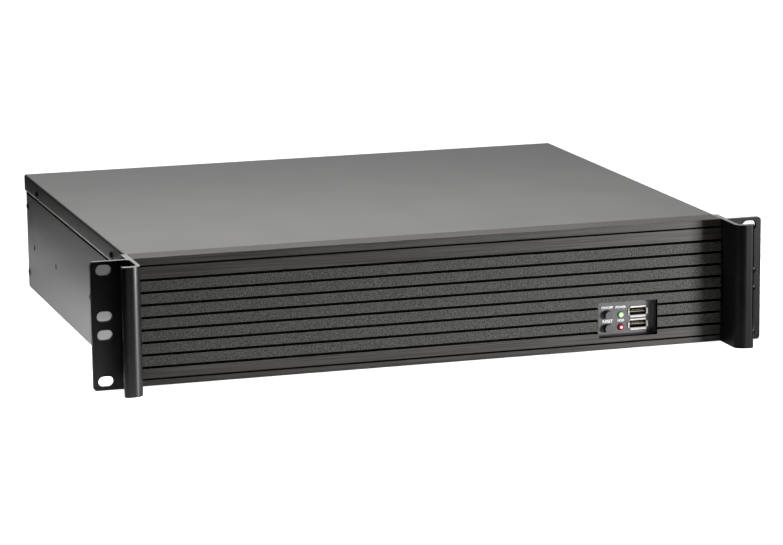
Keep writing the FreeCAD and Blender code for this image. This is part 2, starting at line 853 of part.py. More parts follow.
# Rear panel: a pan with the board, card, power supply and vent openings.
def make_rear_panel():
    body = new_body("RearPanel")
    add_pan(body, tray_back, size.rear_flange, forward=False)
    openings = new_sketch(body, "XZ_Plane", rear_inside)
    add_rectangle(openings, io_x - size.io_wide / 2, io_x + size.io_wide / 2,
                  io_low, io_low + size.io_tall)
    for x in slot_places:
        add_rectangle(openings, x - size.slot_window / 2, x + size.slot_window / 2,
                      size.slot_window_low, bracket_top - size.slot_window_drop)
    add_rectangle(openings, psu_x - size.psu_open_wide / 2, psu_x + size.psu_open_wide / 2,
                  size.psu_z - size.psu_open_tall / 2, size.psu_z + size.psu_open_tall / 2)
    for side in (-1, 1):
        for level in (-1, 1):
            add_circle(openings, psu_x + side * (size.psu_hole_wide / 2),
                       size.psu_z + level * (size.psu_hole_tall / 2), size.psu_hole_radius)
    pocket(body, openings, size.steel_sheet)
    vent = new_sketch(body, "XZ_Plane", rear_inside)
    vent_x = io_x - size.vent_pitch * ((VENTS - 1) / 2)
    add_rectangle(vent, vent_x - size.vent_wide / 2, vent_x + size.vent_wide / 2,
                  io_low + size.io_tall + size.vent_rise, tray_top - size.vent_drop)
    slit = pocket(body, vent, size.steel_sheet)
    repeat(body, slit, "X_Axis", size.vent_pitch, VENTS)
    cut_rivet_holes(body, rear_rivet_y)
    keep(body, "rear_panel")


# Cover: flat top with flanges folded down the sides and the tail, notched for its screws.
def make_cover():
    body = new_body("Cover")
    front = size.frame_back + size.cover_seam
    inner = cover_half - size.steel_sheet
    under = size.case_tall - size.steel_sheet
    inner_round = size.bend_round - size.steel_sheet
    section = new_sketch(body, "XZ_Plane", front)
    add_outline(section, [
        (-cover_half, cover_low),
        (-inner, cover_low),
        (-inner, under, inner_round),
        (inner, under, inner_round),
        (inner, cover_low),
        (cover_half, cover_low),
        (cover_half, size.case_tall, size.bend_round),
        (-cover_half, size.case_tall, size.bend_round),
    ])
    pad(body, section, size.case_deep - front)
    notch = new_sketch(body, "YZ_Plane", 0)
    half = size.cover_screw_radius + size.cover_notch_play
    for y in cover_screw_depths:
        add_outline(notch, [
            (y - half, cover_low),
            (y + half, cover_low),
            (y + half, cover_screw_z + half, half * 0.9),
            (y - half, cover_screw_z + half, half * 0.9),
        ])
    pocket(body, notch)
    tail = new_sketch(body, "XZ_Plane", size.case_deep)
    add_rectangle(tail, -inner, inner, cover_low, under)
    pad(body, tail, size.steel_sheet, forward=False)

    def is_tail_bend(edge):
        spot = edge.CenterOfMass
        return (runs_along(edge, Vector(1, 0, 0)) and near(spot.y, size.case_deep)
                and near(spot.z, size.case_tall))

    round_edges(body, size.steel_sheet * 0.9, is_tail_bend)
    keep(body, "top_cover")


# Drive cage: hat section with feet on the floor and drive holes in its legs.
def make_drive_cage():
    body = new_body("DriveCage")
    inside = size.cage_inside / 2
    outside = inside + size.steel_sheet
    foot = outside + size.cage_foot
    top = floor_top + size.cage_tall
    step = floor_top + size.steel_sheet
    inner_round = size.bend_round - size.steel_sheet
    section = new_sketch(body, "XZ_Plane", size.cage_front)
    add_outline(section, [
        (cage_x - foot, floor_top),
        (cage_x - inside, floor_top),
        (cage_x - inside, top - size.steel_sheet, inner_round),
        (cage_x + inside, top - size.steel_sheet, inner_round),
        (cage_x + inside, floor_top),
        (cage_x + foot, floor_top),
        (cage_x + foot, step),
        (cage_x + outside, step),
        (cage_x + outside, top, size.bend_round),
        (cage_x - outside, top, size.bend_round),
        (cage_x - outside, step),
        (cage_x - foot, step),
    ])
    pad(body, section, size.cage_deep)
    drive_holes = new_sketch(body, "YZ_Plane", cage_x)
    first = size.cage_front + size.drive_hole_front
    low = floor_top + size.drive_hole_low
    for z in (low, low + size.drive_hole_step):
        for y in (first, first + size.drive_hole_inner, first + size.drive_hole_span):
            add_circle(drive_holes, y, z, size.drive_hole_radius)
    pocket(body, drive_holes)
    foot_holes = new_sketch(body, "XY_Plane", step)
    for x, y in cage_screw_places:
        add_circle(foot_holes, x, y, size.panel_screw_radius + size.hole_play)
    pocket(body, foot_holes, size.steel_sheet, forward=False)
    window = new_sketch(body, "XY_Plane", top)
    rim = size.cage_foot * 1.5
    add_rectangle(window, cage_x - inside + rim, cage_x + inside - rim,
                  size.cage_front + rim * 2, size.cage_front + size.cage_deep - rim * 2,
                  size.cage_window_corner)
    pocket(body, window, size.steel_sheet, forward=False)
    keep(body, "drive_cage")


# Bezel: moulded tub behind the control opening, coved inside, with a flange and two bosses.
def make_bezel():
    body = new_body("Bezel")
    low = control_low - size.bezel_over
    high = control_high + size.bezel_over
    tub = new_sketch(body, "XZ_Plane", web_back)
    add_rectangle(tub, control_x - tub_half, control_x + tub_half,
                  low - size.bezel_wall, high + size.bezel_wall, size.bezel_corner)
    pad(body, tub, bezel_back - web_back)
    flange = new_sketch(body, "XZ_Plane", web_back)
    reach = tub_half + size.bezel_flange
    add_rectangle(flange, control_x - reach, control_x + reach,
                  low - size.bezel_flange / 2, high + size.bezel_flange / 2, size.bezel_corner)
    pad(body, flange, size.bezel_flange_thick)
    half = tub_half - size.bezel_wall
    hollow = new_sketch(body, "XZ_Plane", web_back)
    add_rectangle(hollow, control_x - half, control_x + half, low, high, size.bezel_corner)
    pocket(body, hollow, size.bezel_deep)

    def is_floor_edge(edge):
        return near(edge.BoundBox.YMin, bezel_plane) and near(edge.BoundBox.YMax, bezel_plane)

    round_edges(body, size.bezel_cove, is_floor_edge)
    bosses = new_sketch(body, "XZ_Plane", bezel_back)
    for x, z in boss_places:
        add_circle(bosses, x, z, size.boss_radius)
    pad(body, bosses, size.board_gap)
    holes = new_sketch(body, "XZ_Plane", web_back)
    for z in button_heights.values():
        add_circle(holes, button_x, z, size.button_radius + size.button_play)
    for z in lamp_heights.values():
        add_circle(holes, lamp_x, z, size.lamp_radius + size.lamp_play)
    socket_x = size.usb_wide / 2 + size.hole_play
    socket_z = size.usb_tall / 2 + size.hole_play
    for z in (usb_low, usb_high):
        add_rectangle(holes, usb_x - socket_x, usb_x + socket_x, z - socket_z, z + socket_z)
    pocket(body, holes, bezel_back - web_back)
    screw_holes = new_sketch(body, "XZ_Plane", web_back)
    for x, z in bezel_screw_places:
        add_circle(screw_holes, x, z, size.bezel_screw_radius + size.hole_play)
    pocket(body, screw_holes, size.bezel_flange_thick)
    boss_holes = new_sketch(body, "XZ_Plane", board_front)
    for x, z in boss_places:
        add_circle(boss_holes, x, z, size.board_screw_radius)
    pocket(body, boss_holes, size.screw_long, forward=False)
    keep(body, "control_bezel")


def make_control_board():
    body = new_body("ControlBoard")
    half = size.control_wide / 2 + size.board_side
    blank = new_sketch(body, "XZ_Plane", board_front)
    add_rectangle(blank, control_x - half, control_x + half,
                  control_low, control_high + size.board_side, size.board_thick / 2)
    for x, z in boss_places:
        add_circle(blank, x, z, size.board_screw_radius + size.hole_play)
    pad(body, blank, size.board_thick)
    keep(body, "control_board")


# Push button: cap, retaining collar and stem, turned about one axis.
def make_button(label, z):
    face = bezel_plane - size.button_show
    collar = bezel_back + size.button_lift
    cap = rod(label + "Cap", "+Y", button_x, face, z, size.button_radius, collar - face)
    ring = rod(label + "Collar", "+Y", button_x, collar, z,
               size.button_radius + size.button_collar, size.button_collar)
    stem = rod(label + "Stem", "+Y", button_x, collar, z, size.button_stem, plunger_front - collar)
    keep(fuse(label + "Whole", [cap, ring, stem]), label)


def make_plunger(label, z):
    piece = rod(label + "Rod", "+Y", button_x, plunger_front, z,
                size.plunger_radius, size.plunger_show + size.plunger_sunk)
    keep(group(label + "Whole", [piece]), label)


def make_switch(label, z):
    half = size.switch_side / 2
    case = block(label + "Case", button_x - half, switch_front, z - half,
                 size.switch_side, size.switch_tall, size.switch_side)
    bore = rod(label + "Bore", "+Y", button_x, switch_front, z,
               size.plunger_radius + size.plunger_play, size.plunger_sunk + size.button_travel * 1.5)
    keep(cut(label + "Whole", case, bore), label)


# Lamp: round-nosed body that reaches through the bezel, with a rim and two leads to the board.
def make_lamp(label, z):
    nose = bezel_plane - size.lamp_show
    base = nose + size.lamp_long
    barrel = rod(label + "Barrel", "-Y", lamp_x, base, z,
                 size.lamp_radius, size.lamp_long - size.lamp_radius)
    dome = doc.addObject("Part::Sphere", label + "Dome")
    bind(dome, "Radius", size.lamp_radius)
    put(dome, lamp_x, nose + size.lamp_radius, z)
    rim = rod(label + "Rim", "-Y", lamp_x, base, z,
              size.lamp_radius + size.lamp_rim, size.lamp_base)
    lead_start = base - size.lamp_base / 2
    leads = [
        block(label + "Lead", lamp_x + side * (size.lead_step / 2) - size.lead_thick / 2,
              lead_start, z - size.lead_thick / 2,
              size.lead_thick, board_front - lead_start, size.lead_thick)
        for side in (-1, 1)
    ]
    keep(fuse(label + "Whole", [barrel, dome, rim] + leads), label)


# Socket shell: thin metal sleeve whose four front edges flare out.
def make_usb_shell(name, z):
    body = new_body(name.title() + "Shell")
    half_x = size.usb_wide / 2
    half_z = size.usb_tall / 2
    flare = bezel_plane - size.usb_lip
    side_lip = size.usb_lip * 0.7
    sleeve = new_sketch(body, "XZ_Plane", bezel_plane)
    add_rectangle(sleeve, usb_x - half_x, usb_x + half_x, z - half_z, z + half_z,
                  size.usb_sheet * 2)
    pad(body, sleeve, board_front - bezel_plane)
    hollow = new_sketch(body, "XZ_Plane", bezel_plane)
    add_rectangle(hollow, usb_x - half_x + size.usb_sheet, usb_x + half_x - size.usb_sheet,
                  z - half_z + size.usb_sheet, z + half_z - size.usb_sheet, size.usb_sheet)
    pocket(body, hollow, board_front - bezel_plane - size.usb_back)
    level_lips = new_sketch(body, "YZ_Plane", usb_x)
    upright_lips = new_sketch(body, "XY_Plane", z)
    for sign in (-1, 1):
        add_outline(level_lips, [
            (bezel_plane, z + sign * (half_z - size.usb_sheet)),
            (flare, z + sign * (half_z - size.usb_sheet + size.usb_lip)),
            (flare, z + sign * (half_z + size.usb_lip)),
            (bezel_plane, z + sign * half_z),
        ])
        add_outline(upright_lips, [
            (usb_x + sign * (half_x - size.usb_sheet), bezel_plane),
            (usb_x + sign * (half_x - size.usb_sheet + side_lip), flare),
            (usb_x + sign * (half_x + side_lip), flare),
            (usb_x + sign * half_x, bezel_plane),
        ])
    pad_both_ways(body, level_lips, size.usb_wide - size.usb_notch * 2)
    pad_both_ways(body, upright_lips, size.usb_tall - size.usb_notch * 2)
    keep(body, name + "_usb_shell")


def make_usb_insides():
    tongues = []
    contacts = []
    front = bezel_plane + size.tongue_set
    end = board_front - size.usb_back
    for z in (usb_low, usb_high):
        low = z - size.tongue_thick * 0.6
        tongues.append(block("Tongue", usb_x - size.tongue_wide / 2, front, low,
                             size.tongue_wide, end - front, size.tongue_thick))
        for share in CONTACT_SHARES:
            left = usb_x + size.tongue_wide * share - size.contact_wide / 2
            contact_front = front + size.contact_thick
            contacts.append(block("Contact", left, contact_front, low + size.tongue_thick,
                                  size.contact_wide, end - contact_front, size.contact_thick))
    keep(group("Tongues", tongues), "usb_tongues")
    keep(group("Contacts", contacts), "usb_contacts")


# Slot covers: bent blades over the card windows, their tabs screwed down on a shelf.
def make_slot_cover(number, x):
    body = new_body(f"SlotCover{number}")
    foot = size.slot_window_low - size.bracket_foot
    blade_front = rear_inside - size.bracket_sheet
    tab_front = rear_inside - size.bracket_tab
    top = bracket_top + size.bracket_sheet
    section = new_sketch(body, "YZ_Plane", x)
    add_outline(section, [
        (blade_front, foot),
        (rear_inside, foot),
        (rear_inside, top, size.bracket_sheet),
        (tab_front, top),
        (tab_front, bracket_top),
        (blade_front, bracket_top),
    ])
    pad_both_ways(body, section, size.bracket_wide)
    hole = new_sketch(body, "XY_Plane", bracket_top)
    add_circle(hole, x, bracket_tab_y, size.panel_screw_radius + size.hole_play)
    pocket(body, hole, size.bracket_sheet)
    keep(body, f"slot_cover_{number}")


def make_slot_shelf():
    body = new_body("SlotShelf")
    reach = size.bracket_wide / 2 + size.shelf_side
    low = slot_places[-1] - reach
    high = slot_places[0] + reach
    front = rear_inside - size.bracket_tab - size.shelf_over
    under = bracket_top - size.steel_sheet
    section = new_sketch(body, "YZ_Plane", low)
    add_outline(section, [
        (front, bracket_top - size.shelf_lip),
        (front + size.steel_sheet, bracket_top - size.shelf_lip),
        (front + size.steel_sheet, under),
        (rear_inside, under),
        (rear_inside, bracket_top),
        (front, bracket_top, size.steel_sheet),
    ])
    pad(body, section, high - low)
    relief = new_sketch(body, "XY_Plane", bracket_top)
    leg = size.shelf_side / 2
    add_rectangle(relief, low + leg, high - leg,
                  rear_inside - size.bracket_sheet - size.hole_play, rear_inside)
    pocket(body, relief, size.steel_sheet, forward=False)
    holes = new_sketch(body, "XY_Plane", bracket_top)
    for x in slot_places:
        add_circle(holes, x, bracket_tab_y, size.panel_screw_radius)
    pocket(body, holes, size.steel_sheet, forward=False)
    keep(body, "slot_cover_shelf")


def make_standoffs():
    pieces = []
    corner = size.standoff_across / 2 / math.cos(math.pi / 6)
    top = floor_top + size.standoff_tall
    for x, y in board_places:
        hexagon = doc.addObject("Part::Prism", "Hexagon")
        hexagon.Polygon = 6
        bind(hexagon, "Circumradius", corner)
        bind(hexagon, "Height", size.standoff_tall)
        put(hexagon, x, y, floor_top)
        thread = rod("Thread", "-Z", x, y, top, size.bezel_screw_radius, size.screw_long)
        stud = rod("Stud", "-Z", x, y, floor_top, size.panel_screw_radius, size.steel_sheet)
        pieces.append(fuse("Standoff", [cut("Tapped", hexagon, thread), stud]))
    keep(group("Standoffs", pieces), "board_standoffs")


def make_screws():
    long = size.screw_long
    panel_r = size.panel_screw_radius
    sets = {
        "panel_screws": [
            screw("PanelScrew", "-Y", x, wall_back, z, panel_r, long)
            for x, z in panel_screw_places
        ],
        "frame_screws": [
            screw("FrameScrew", "-Y", side * frame_screw_x, wall_back, z,
                  size.frame_screw_radius, long)
            for side in (-1, 1)
            for z in frame_screw_heights
        ],
        "bezel_screws": [
            screw("BezelScrew", "-Y", x, web_back + size.bezel_flange_thick, z,
                  size.bezel_screw_radius, long - size.bezel_flange_thick)
            for x, z in bezel_screw_places
        ],
        "control_board_screws": [
            screw("BoardScrew", "-Y", x, board_back, z, size.board_screw_radius, long)
            for x, z in boss_places
        ],
        "drive_cage_screws": [
            screw("CageScrew", "-Z", x, y, floor_top + size.steel_sheet, panel_r,
                  size.steel_sheet * 2)
            for x, y in cage_screw_places
        ],
        "slot_cover_screws": [
            screw("CardScrew", "-Z", x, bracket_tab_y, bracket_top + size.bracket_sheet,
                  panel_r, long)
            for x in slot_places
        ],
        "cover_screws": [
            screw("CoverScrew", INWARD[side], side * cover_half, y, cover_screw_z,
                  size.cover_screw_radius, long, size.cover_head_radius)
            for side in (-1, 1)
            for y in cover_screw_depths
        ],
        "wall_rivets": [
            screw("Rivet", INWARD[side], side * tray_half, y, z,
                  size.rivet_radius, size.steel_sheet * 3)
            for side in (-1, 1)
            for y in (front_rivet_y, rear_rivet_y)
            for z in rivet_heights
        ],
    }
    for label, pieces in sets.items():
        keep(group(label.title().replace("_", ""), pieces), label)


make_side_frames()
make_front_panel()
make_tray()
make_front_wall()
make_rear_panel()
make_cover()
make_drive_cage()
make_bezel()
make_control_board()
for name, height in button_heights.items():
    make_button(name + "_button", height)
    make_plunger(name + "_plunger", height)
    make_switch(name + "_switch", height)
for name, height in lamp_heights.items():
    make_lamp(name + "_led", height)
make_usb_shell("upper", usb_high)
make_usb_shell("lower", usb_low)
make_usb_insides()
for number, slot_x in enumerate(slot_places, start=1):
    make_slot_cover(number, slot_x)
make_slot_shelf()
make_standoffs()
make_screws()

doc.recompute()
for thing in doc.Objects:
    if "Invalid" in thing.State or "Error" in thing.State:
        raise RuntimeError(f"{thing.Name} failed: {thing.State}")
for thing in subparts:
    if thing.Shape.isNull() or not thing.Shape.isValid():
        raise RuntimeError(f"{thing.Label} has no valid shape")
for thing in subparts:
    thing.Shape.exportStep(f"parts/{thing.Label}.step")
print(f"{len(subparts)} sub-parts written")
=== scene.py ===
import json
import math

import bmesh
import bpy
from mathutils import Matrix, Vector

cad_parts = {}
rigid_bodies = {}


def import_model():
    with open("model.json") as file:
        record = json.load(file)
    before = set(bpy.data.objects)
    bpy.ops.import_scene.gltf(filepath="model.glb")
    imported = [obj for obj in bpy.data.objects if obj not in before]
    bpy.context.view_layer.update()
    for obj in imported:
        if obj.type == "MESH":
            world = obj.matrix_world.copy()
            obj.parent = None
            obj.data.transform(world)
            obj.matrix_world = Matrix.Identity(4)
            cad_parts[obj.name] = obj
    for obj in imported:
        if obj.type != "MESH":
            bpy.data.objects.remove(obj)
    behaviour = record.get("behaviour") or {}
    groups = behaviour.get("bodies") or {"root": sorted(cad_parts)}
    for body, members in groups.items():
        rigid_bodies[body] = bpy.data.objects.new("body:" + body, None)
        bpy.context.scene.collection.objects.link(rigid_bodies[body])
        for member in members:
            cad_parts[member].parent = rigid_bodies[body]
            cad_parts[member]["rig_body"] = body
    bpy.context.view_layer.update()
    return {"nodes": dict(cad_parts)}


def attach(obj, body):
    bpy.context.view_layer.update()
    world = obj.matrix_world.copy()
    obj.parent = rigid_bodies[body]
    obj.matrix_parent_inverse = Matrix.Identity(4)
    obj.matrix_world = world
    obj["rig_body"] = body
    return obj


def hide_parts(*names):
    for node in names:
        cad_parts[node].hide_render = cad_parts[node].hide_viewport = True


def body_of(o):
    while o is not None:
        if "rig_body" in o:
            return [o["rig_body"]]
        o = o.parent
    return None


# Looks of an empty two-unit rackmount case: coats, plastics, plated screws and printed words
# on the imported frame, with the studio floor, light and the photo's camera.

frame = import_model()
nodes = frame["nodes"]

MM = 0.001
SHADE_BLACK = (0.003, 0.003, 0.003, 1)
PLAIN_SPECULAR = 0.5

# Places in the part's frame, in millimetres
COVER_EDGE_HIGHLIGHT = (75.5, 76.9)
COVER_FOLD_HEIGHT = (86.0, 87.7)
COVER_FOLD_ACROSS = (212.7, 215)
COVER_FLANGE_ACROSS = (213.9, 215)
COVER_FLANGE_FADE = (75, 87)
SEAM_HEIGHT = (73.3, 76.4)
SEAM_ACROSS = (212.6, 214)
WALL_INSIDE_HOLES = (211.5, 212.8)
BLASTED_RIBS = (13.4, 71.8)
GROOVE_DEPTH = (-165.6, -163.0)
GROOVE_HEIGHT = (1.0, 87.2)
RIM_LINES = (4.6, 82.3)
FRAME_TOP_HIGHLIGHT = (87.9, 88.2)
HANDLE_FRONT = (-194.0, -195.0)
HANDLE_CROWN = (-209.2, -200.3)
LEFT_HALF = (50, -50)
BEZEL_COVE = (160.5, 167.0)
SOCKET_LIPS = (-158.2, -157.4)
TONGUE_EDGES = ((23.9, 24.2), (15.0, 15.3))
LAMP_MIDDLE = 139.6
BEZEL_FLOOR = -157.9
INK_HEIGHT = 0.02

# How far the left handle's front normals lean at the crown's end, and how far they look up
CROWN_LEAN = 0.72
CROWN_RISE = 0.06


def feed(tree, socket, source):
    """Links a node's input to an output, or sets it to a constant."""
    if isinstance(source, bpy.types.NodeSocket):
        tree.links.new(source, socket)
    else:
        socket.default_value = source


def calculate(tree, how, first, second=0.0):
    """A maths node on two inputs, each an output or a constant."""
    node = tree.nodes.new("ShaderNodeMath")
    node.operation = how
    for socket, source in zip(node.inputs, (first, second)):
        feed(tree, socket, source)
    return node.outputs[0]


# Node materials
class Coat:
    """A Principled material whose inputs are fed from object-space patterns."""

    def __init__(self, name, metallic=0.0, specular=PLAIN_SPECULAR, coat=0.0):
        self.material = bpy.data.materials.new(name)
        self.material.use_nodes = True
        self.tree = self.material.node_tree
        self.shader = self.tree.nodes["Principled BSDF"]
        self.shader.inputs["Metallic"].default_value = metallic
        self.shader.inputs["Specular IOR Level"].default_value = specular
        self.shader.inputs["Coat Weight"].default_value = coat
        self.place = self.tree.nodes.new("ShaderNodeTexCoord").outputs["Object"]

    def add(self, kind, links=None, **values):
        node = self.tree.nodes.new(kind)
        for key, value in values.items():
            setattr(node, key, value)
        for key, source in (links or {}).items():
            feed(self.tree, node.inputs[key], source)
        return node

    def noise(self, size_mm, stretch=(1, 1, 1), detail=3.0, seed=0.0):
        """Noise whose grains are about this size, drawn out along each axis by stretch."""
        spread = self.add("ShaderNodeMapping", {"Vector": self.place})
        spread.inputs["Scale"].default_value = [1 / (size_mm * MM * s) for s in stretch]
        spread.inputs["Location"].default_value = (seed, seed * 1.7, seed * 0.3)
        grain = self.add("ShaderNodeTexNoise", {"Vector": spread.outputs[0], "Scale": 1.0,
                                                "Detail": detail})
        return grain.outputs[0]

    def ramp(self, source, low, high, low_at=0.3, high_at=0.7):
        """Colour or grey that runs from low to high as the source rises."""
        node = self.add("ShaderNodeValToRGB", {"Fac": source})
        for stop, at, value in zip(node.color_ramp.elements, (low_at, high_at), (low, high)):
            stop.position = at
            stop.color = (*value, 1) if isinstance(value, tuple) else (value, value, value, 1)
        return node.outputs[0]

    def mix(self, share, first, second, mode="MIX"):
        node = self.add("ShaderNodeMix", data_type="RGBA", blend_type=mode)
        for socket, source in zip((0, 6, 7), (share, first, second)):
            if socket and isinstance(source, float):
                source = (source, source, source, 1)
            feed(self.tree, node.inputs[socket], source)
        return node.outputs[2]

    def maths(self, how, first, second=0.0):
        return calculate(self.tree, how, first, second)

    def both(self, first, second):
        return self.maths("MULTIPLY", first, second)

    def along(self, axis):
        split = self.add("ShaderNodeSeparateXYZ", {"Vector": self.place})
        return split.outputs["XYZ".index(axis)]

    def rise(self, source, low_at, high_at):
        """0 up to the first value and 1 from the second on, or the other way round."""
        return self.add("ShaderNodeMapRange", {"Value": source, "From Min": low_at,
                                               "From Max": high_at}).outputs[0]

    def band(self, axis, span_mm, soft_mm=0.15, mirrored=False):
        """1 between two places along an axis and 0 beyond them."""
        low_mm, high_mm = span_mm
        place = self.along(axis)
        if mirrored:
            place = self.maths("ABSOLUTE", place)
        above = self.rise(place, (low_mm - soft_mm) * MM, low_mm * MM)
        below = self.rise(place, (high_mm + soft_mm) * MM, high_mm * MM)
        return self.both(above, below)

    def slope(self, axis, span_mm):
        """0 before the first place along an axis and 1 behind the second."""
        return self.rise(self.along(axis), span_mm[0] * MM, span_mm[1] * MM)

    def paint_shade(self, mask, colour, specular=PLAIN_SPECULAR):
        """Painted shade: a dark, dull colour where the mask is 1, as in a seam or a groove."""
        left = self.maths("SUBTRACT", 1.0, mask)
        feed(self.tree, self.shader.inputs["Specular IOR Level"], self.both(left, specular))
        return self.mix(mask, colour, SHADE_BLACK)

    def edges(self, radius_mm=0.5):
        """1 on outer edges, for wear and for a painted highlight there, and 0 on flat faces."""
        soft = self.add("ShaderNodeBevel", {"Radius": radius_mm * MM}, samples=4)
        plain = self.add("ShaderNodeNewGeometry")
        dot = self.add("ShaderNodeVectorMath", {0: soft.outputs[0], 1: plain.outputs["Normal"]},
                       operation="DOT_PRODUCT")
        wear_and_glint = self.maths("SUBTRACT", 1.0, dot.outputs["Value"])
        patchy = self.both(wear_and_glint, self.noise(2.5, seed=4.0))
        return self.ramp(patchy, 0.0, 1.0, 0.01, 0.12)

    def bump(self, height, depth_mm, strength=1.0, under=None, round_mm=0.25):
        if under is None:
            under = self.add("ShaderNodeBevel", {"Radius": round_mm * MM}, samples=4).outputs[0]
        node = self.add("ShaderNodeBump", {"Height": height, "Distance": depth_mm * MM,
                                           "Strength": strength, "Normal": under})
        return node.outputs[0]

    def finish(self, colour, roughness, normal):
        for key, source in (("Base Color", colour), ("Roughness", roughness), ("Normal", normal)):
            self.tree.links.new(source, self.shader.inputs[key])
        return self.material


def powder_coat(name, painted_shade=None, flange_highlight=False):
    """Fine textured paint on sheet steel, with painted shade in seams and bends and a pale painted
    highlight along the foot of the cover's flanges.
    """
    coat = Coat(name)
    cloud = coat.noise(45, seed=1.0)
    fine = coat.noise(0.5, detail=2.0)
    colour = coat.ramp(cloud, (0.050, 0.0495, 0.0485), (0.058, 0.057, 0.0557))
    colour = coat.mix(coat.edges(), colour, (0.20, 0.20, 0.195, 1))
    # Pale band at the foot of the cover's flanges: a painted highlight.
    if flange_highlight:
        colour = coat.mix(coat.band("Z", COVER_EDGE_HIGHLIGHT), colour, (0.30, 0.30, 0.29, 1))
    if painted_shade:
        colour = coat.paint_shade(painted_shade(coat), colour)
    rough = coat.ramp(coat.mix(0.9, cloud, fine), 0.31, 0.37)
    return coat.finish(colour, rough, coat.bump(fine, 0.015, 0.4))


def cover_fold_shade(coat):
    """Painted shade: dark along the cover's side folds, and darker towards the top of its flanges.
    """
    fold = coat.both(coat.band("Z", COVER_FOLD_HEIGHT, 0.2),
                     coat.band("X", COVER_FOLD_ACROSS, mirrored=True))
    fade = coat.both(coat.slope("Z", COVER_FLANGE_FADE),
                     coat.band("X", COVER_FLANGE_ACROSS, mirrored=True))
    return coat.maths("MAXIMUM", coat.both(fold, 0.8), coat.both(fade, 0.55))


def tray_seam_shade(coat):
    """Painted shade in the gap under the cover's flanges and on the walls of the side holes."""
    gap = coat.both(coat.band("Z", SEAM_HEIGHT), coat.band("X", SEAM_ACROSS, mirrored=True))
    return coat.maths("MAXIMUM", gap, coat.band("X", WALL_INSIDE_HOLES, 0.05, mirrored=True))


def rib_coat():
    """Blasted coat on the middle ribs, smooth drawn coat on the bands, painted shade in the grooves
    and rim lines.
    """
    coat = Coat("rib_coat")
    blasted = coat.band("Z", BLASTED_RIBS, 0.4)
    sand = coat.noise(0.85, detail=4.0)
    drawn = coat.noise(0.35, stretch=(160, 1, 1), detail=2.0, seed=2.0)
    cloud = coat.noise(30, seed=3.0)
    sandy = coat.ramp(sand, (0.010, 0.0105, 0.0095), (0.080, 0.080, 0.073), 0.38, 0.66)
    smooth = coat.ramp(drawn, (0.014, 0.013, 0.012), (0.060, 0.056, 0.052), 0.3, 0.7)
    colour = coat.mix(blasted, smooth, sandy)
    colour = coat.mix(0.25, colour, coat.ramp(cloud, 0.7, 1.0), "MULTIPLY")
    # Pale edges on the ribs: wear and a painted highlight.
    colour = coat.mix(coat.edges(0.4), colour, (0.16, 0.16, 0.155, 1))
    # Painted shade: black, without reflection, in the grooves and along the two rim lines.
    sunk = coat.both(coat.band("Y", GROOVE_DEPTH), coat.band("Z", GROOVE_HEIGHT))
    for line in RIM_LINES:
        sunk = coat.maths("MAXIMUM", sunk, coat.band("Z", (line - 0.5, line + 0.5), 0.3))
    colour = coat.paint_shade(sunk, colour, 0.3)
    rough = coat.mix(blasted, coat.ramp(drawn, 0.36, 0.5), coat.ramp(sand, 0.5, 0.72))
    height_map = coat.mix(blasted, coat.mix(0.8, drawn, 0.5), sand)
    return coat.finish(colour, rough, coat.bump(height_map, 0.09, 0.8))


def frame_coat(name, specular, wear_and_glint):
    """Black coat on the extruded side frames: sawn top ends pale as a painted highlight, left pull
    handle crowned in front.
    """
    coat = Coat(name, specular=specular)
    drawn = coat.noise(0.5, stretch=(1, 1, 120), detail=2.0)
    cloud = coat.noise(22, seed=5.0)
    colour = coat.ramp(cloud, (0.0010, 0.0010, 0.0010), (0.0024, 0.0024, 0.0025))
    colour = coat.mix(coat.edges(0.6), colour, (wear_and_glint, wear_and_glint, wear_and_glint, 1))
    # Pale top ends: a painted highlight.
    colour = coat.mix(coat.band("Z", FRAME_TOP_HIGHLIGHT, 0.05), colour, (0.10, 0.10, 0.098, 1))
    rough = coat.ramp(coat.mix(0.4, cloud, drawn), 0.34, 0.46)
    soft = coat.add("ShaderNodeBevel", {"Radius": 0.4 * MM}, samples=4).outputs[0]
    faces = coat.add("ShaderNodeSeparateXYZ", {"Vector": soft})
    ahead = coat.both(coat.rise(faces.outputs["Y"], -0.5, -0.95), coat.slope("Y", HANDLE_FRONT))
    lean = coat.both(coat.slope("X", HANDLE_CROWN), CROWN_LEAN)
    crown = coat.add("ShaderNodeCombineXYZ", {"X": coat.both(ahead, lean),
                                              "Z": coat.both(ahead, CROWN_RISE)})
    left_only = coat.slope("X", LEFT_HALF)
    crown = coat.add("ShaderNodeVectorMath", {0: crown.outputs[0], "Scale": left_only},
                     operation="SCALE")
    bent = coat.add("ShaderNodeVectorMath", {0: soft, 1: crown.outputs[0]}, operation="ADD")
    bent = coat.add("ShaderNodeVectorMath", {0: bent.outputs[0]}, operation="NORMALIZE")
    return coat.finish(colour, rough, coat.bump(drawn, 0.01, 0.4, under=bent.outputs[0]))


def plastic(name, low, high, roughness, grain_mm=0.35, depth_mm=0.015, painted_shade=None):
    """Moulded plastic or resin paint with a fine grain."""
    coat = Coat(name)
    grain = coat.noise(grain_mm)
    cloud = coat.noise(6.0, seed=6.0)
    colour = coat.ramp(cloud, low, high)
    colour = coat.mix(coat.edges(0.3), colour, (*[min(1.0, v * 1.35) for v in high], 1))
    if painted_shade:
        colour = coat.paint_shade(painted_shade(coat), colour)
    rough = coat.ramp(grain, roughness - 0.06, roughness + 0.06)
    return coat.finish(colour, rough, coat.bump(grain, depth_mm, 0.6, round_mm=0.15))


